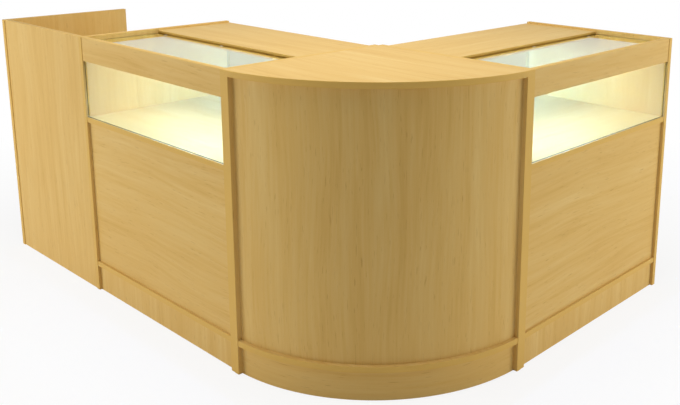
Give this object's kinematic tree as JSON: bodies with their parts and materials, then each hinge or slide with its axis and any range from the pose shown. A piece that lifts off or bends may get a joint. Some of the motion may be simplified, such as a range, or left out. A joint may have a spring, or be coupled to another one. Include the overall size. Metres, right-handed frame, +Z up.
{
  "type": "shop counter",
  "caption": "L-shaped shop counter in wood-faced board with lit glass-topped display units, rear sliding glass doors, a curved corner and a till unit with an open well.",
  "frame": {"origin": "bottom centre of the whole counter's box, on the floor", "axes": "+X along the long run from the till unit to the corner, +Y from that run's front to its back, +Z up"},
  "size_m": [2.012, 1.412, 0.9],
  "materials": {
    "faced_board": "satin wood-grain facing",
    "pane_glass": "clear with ground edges",
    "door_glass": "clear with ground edges",
    "track": "anodised",
    "pull": "bright",
    "lamp_body": "matt white",
    "lamp_diffuser": "opal",
    "rocker": "glossy black",
    "pad": "soft clear",
    "small_steel": "plated"
  },
  "bodies": {
    "counter": {"corner_base_board": "faced_board", "corner_front": "faced_board", "corner_left_end_panel": "faced_board", "corner_plinth": "faced_board", "corner_right_end_panel": "faced_board", "corner_top": "faced_board", "glass_pads": "pad", "lamp_clips": "small_steel", "lamp_end_caps": "lamp_body", "left_base_board": "faced_board", "left_display_floor": "faced_board", "left_door_tracks": "track", "left_fascia": "faced_board", "left_front_plinth": "faced_board", "left_glass_rails": "faced_board", "left_inner_end_panel": "faced_board", "left_lamp_diffuser": "lamp_diffuser", "left_lamp_housing": "lamp_body", "left_lamp_switch_box": "lamp_body", "left_lower_front_panel": "faced_board", "left_outer_end_panel": "faced_board", "left_rear_plinth": "faced_board", "left_storage_shelf": "faced_board", "left_top_glass": "pane_glass", "left_window_glass": "pane_glass", "left_worktop": "faced_board", "right_base_board": "faced_board", "right_display_floor": "faced_board", "right_door_tracks": "track", "right_fascia": "faced_board", "right_front_plinth": "faced_board", "right_glass_rails": "faced_board", "right_inner_end_panel": "faced_board", "right_lamp_diffuser": "lamp_diffuser", "right_lamp_housing": "lamp_body", "right_lamp_switch_box": "lamp_body", "right_lower_front_panel": "faced_board", "right_outer_end_panel": "faced_board", "right_rear_plinth": "faced_board", "right_storage_shelf": "faced_board", "right_top_glass": "pane_glass", "right_window_glass": "pane_glass", "right_worktop": "faced_board", "shelf_pegs": "small_steel", "till_front_panel": "faced_board", "till_left_end_panel": "faced_board", "till_right_end_panel": "faced_board", "till_shelf": "faced_board", "till_worktop": "faced_board"},
    "left_outer_sliding_door": {"left_outer_door": "door_glass", "left_outer_door_pull": "pull"},
    "left_inner_sliding_door": {"left_inner_door": "door_glass", "left_inner_door_pull": "pull"},
    "left_rocker": {"left_lamp_rocker": "rocker"},
    "right_outer_sliding_door": {"right_outer_door": "door_glass", "right_outer_door_pull": "pull"},
    "right_inner_sliding_door": {"right_inner_door": "door_glass", "right_inner_door_pull": "pull"},
    "right_rocker": {"right_lamp_rocker": "rocker"}
  },
  "joints": [
    {"name": "left_outer_door_slide", "type": "slide", "parent": "counter", "child": "left_outer_sliding_door", "axis": [1, 0, 0], "range_m": [0, 0.376]},
    {"name": "left_inner_door_slide", "type": "slide", "parent": "counter", "child": "left_inner_sliding_door", "axis": [-1, 0, 0], "range_m": [0, 0.376]},
    {"name": "right_outer_door_slide", "type": "slide", "parent": "counter", "child": "right_outer_sliding_door", "axis": [0, -1, 0], "range_m": [0, 0.376]},
    {"name": "right_inner_door_slide", "type": "slide", "parent": "counter", "child": "right_inner_sliding_door", "axis": [0, 1, 0], "range_m": [0, 0.376]},
    {"name": "left_rocker_pivot", "type": "hinge", "parent": "counter", "child": "left_rocker", "pos_m": [0.077, -0.67, 0.8498], "axis": [0, 0, 1], "range_deg": [-16, 0]},
    {"name": "right_rocker_pivot", "type": "hinge", "parent": "counter", "child": "right_rocker", "pos_m": [0.97, 0.223, 0.8498], "axis": [0, 0, 1], "range_deg": [0, 16]}
  ]
}
